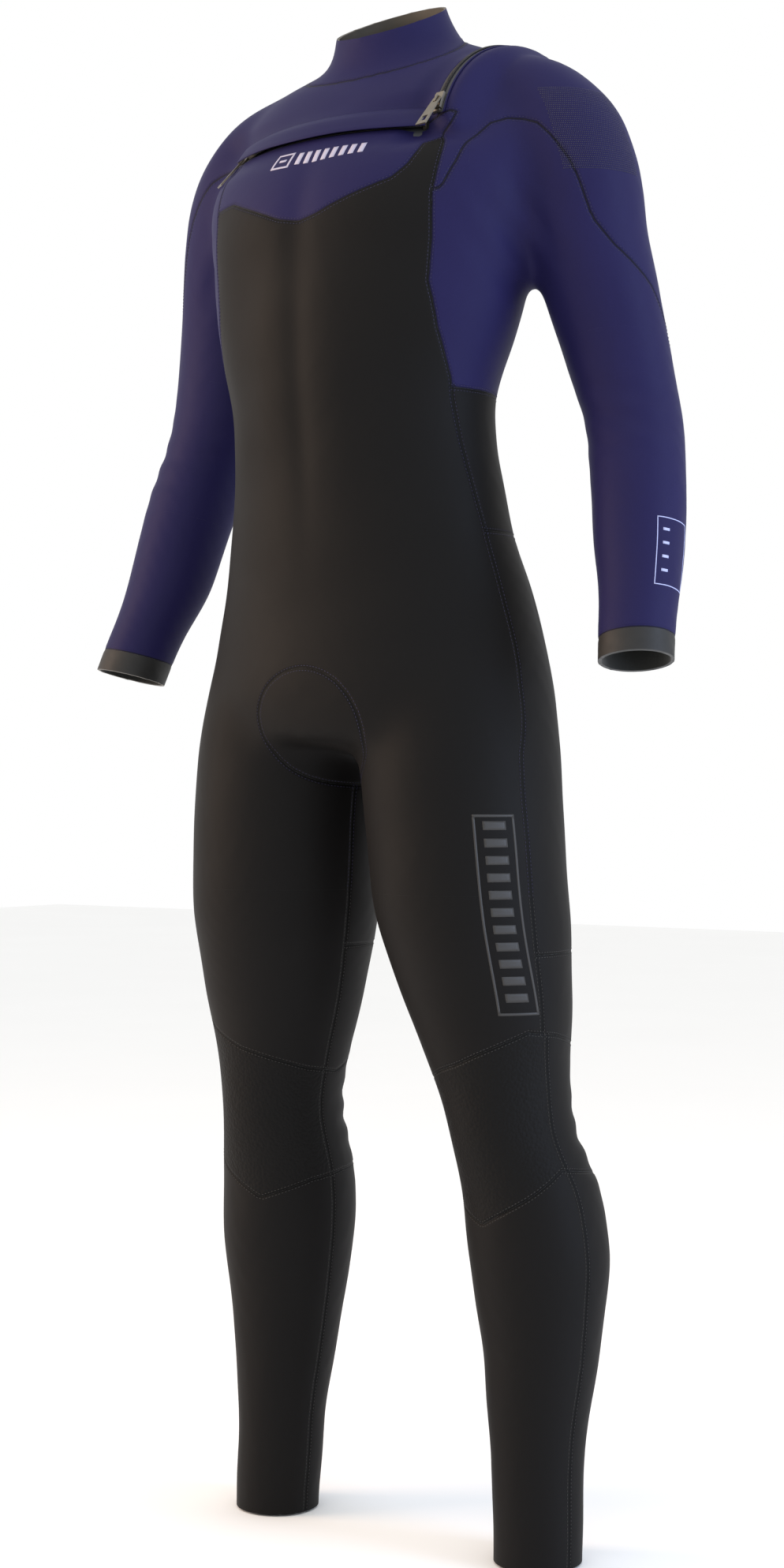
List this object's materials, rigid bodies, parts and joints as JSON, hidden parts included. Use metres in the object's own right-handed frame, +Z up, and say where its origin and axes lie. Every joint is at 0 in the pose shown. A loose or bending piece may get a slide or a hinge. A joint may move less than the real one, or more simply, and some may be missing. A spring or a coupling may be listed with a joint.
{
  "type": "full wetsuit",
  "caption": "Long-sleeved full wetsuit of neoprene panels with a high collar, chest zip under a flap, shoulder zip, knee pads and cuffs.",
  "frame": {"origin": "point between the shoulders, inside the base of the neck, from which the suit hangs", "axes": "+Z up towards the collar, -Y out of the chest, +X towards the wearer's left"},
  "size_m": [0.6582, 0.2525, 1.4713],
  "materials": {
    "navy_knit": "matte",
    "black_knit": "matte",
    "knee_knit": "matte embossed",
    "zip_tape": "woven",
    "zip_coil": "satin",
    "zip_metal": "satin"
  },
  "bodies": {
    "suit": {"back_panel": "black_knit", "chest_band": "navy_knit", "chest_coil": "zip_coil", "chest_flap": "navy_knit", "chest_stop_left": "zip_metal", "chest_stop_right": "zip_metal", "chest_tape_lower": "zip_tape", "chest_tape_upper": "zip_tape", "collar": "navy_knit", "crotch_gusset": "black_knit", "elbow_left": "navy_knit", "elbow_right": "navy_knit", "front_panel": "black_knit", "knee_back_left": "black_knit", "knee_back_right": "black_knit", "knee_pad_left": "knee_knit", "knee_pad_right": "knee_knit", "seat_panel": "black_knit", "shoulder_bed": "navy_knit", "shoulder_coil": "zip_coil", "shoulder_stop_back": "zip_metal", "shoulder_stop_front": "zip_metal", "shoulder_tape": "zip_tape", "side_panel_left": "navy_knit", "side_panel_right": "navy_knit", "sleeve_top_left": "navy_knit", "sleeve_top_right": "navy_knit", "sleeve_under_left": "navy_knit", "sleeve_under_right": "navy_knit", "thigh_back_left": "black_knit", "thigh_back_right": "black_knit", "yoke": "navy_knit"},
    "forearm_left": {"forearm_left": "navy_knit", "cuff_left": "black_knit"},
    "forearm_right": {"forearm_right": "navy_knit", "cuff_right": "black_knit"},
    "lower_leg_left": {"shin_left": "black_knit", "calf_left": "black_knit"},
    "lower_leg_right": {"shin_right": "black_knit", "calf_right": "black_knit"},
    "chest_slider": {"chest_slider": "zip_metal"},
    "chest_puller": {"chest_puller": "zip_metal"},
    "shoulder_slider": {"shoulder_slider": "zip_metal"},
    "shoulder_puller": {"shoulder_puller": "zip_metal"}
  },
  "joints": [
    {"name": "chest_zip_run", "type": "hinge", "parent": "suit", "child": "chest_slider", "pos_m": [-0.006, 0.11, -0.078], "axis": [0, 0, 1], "range_deg": [0, 59]},
    {"name": "chest_puller_swing", "type": "hinge", "parent": "chest_slider", "child": "chest_puller", "pos_m": [-0.13155, -0.06666, -0.07747], "axis": [-0.8151, 0.5793, 0], "range_deg": [0, 110], "deforming": ["chest_flap"]},
    {"name": "shoulder_zip_run", "type": "hinge", "parent": "suit", "child": "shoulder_slider", "pos_m": [0.1266, 0.022, -0.1], "axis": [-0.9869, 0.1616, 0], "range_deg": [0, 80]},
    {"name": "shoulder_puller_swing", "type": "hinge", "parent": "shoulder_slider", "child": "shoulder_puller", "pos_m": [0.10962, -0.08168, -0.0584], "axis": [-0.9869, 0.1616, 0], "range_deg": [0, 100]},
    {"name": "elbow_bend_left", "type": "hinge", "parent": "suit", "child": "forearm_left", "pos_m": [0.252, 0.027, -0.35], "axis": [-1, 0, 0], "range_deg": [0, 95], "stiffness_Nm_per_rad": 1.5, "deforming": ["elbow_left"]},
    {"name": "knee_bend_left", "type": "hinge", "parent": "suit", "child": "lower_leg_left", "pos_m": [0.136, 0.003, -1], "axis": [1, 0, 0], "range_deg": [0, 80], "stiffness_Nm_per_rad": 3, "deforming": ["knee_pad_left", "knee_back_left"]},
    {"name": "elbow_bend_right", "type": "hinge", "parent": "suit", "child": "forearm_right", "pos_m": [-0.252, 0.027, -0.35], "axis": [-1, 0, 0], "range_deg": [0, 95], "stiffness_Nm_per_rad": 1.5, "deforming": ["elbow_right"]},
    {"name": "knee_bend_right", "type": "hinge", "parent": "suit", "child": "lower_leg_right", "pos_m": [-0.136, 0.003, -1], "axis": [1, 0, 0], "range_deg": [0, 80], "stiffness_Nm_per_rad": 3, "deforming": ["knee_pad_right", "knee_back_right"]}
  ]
}
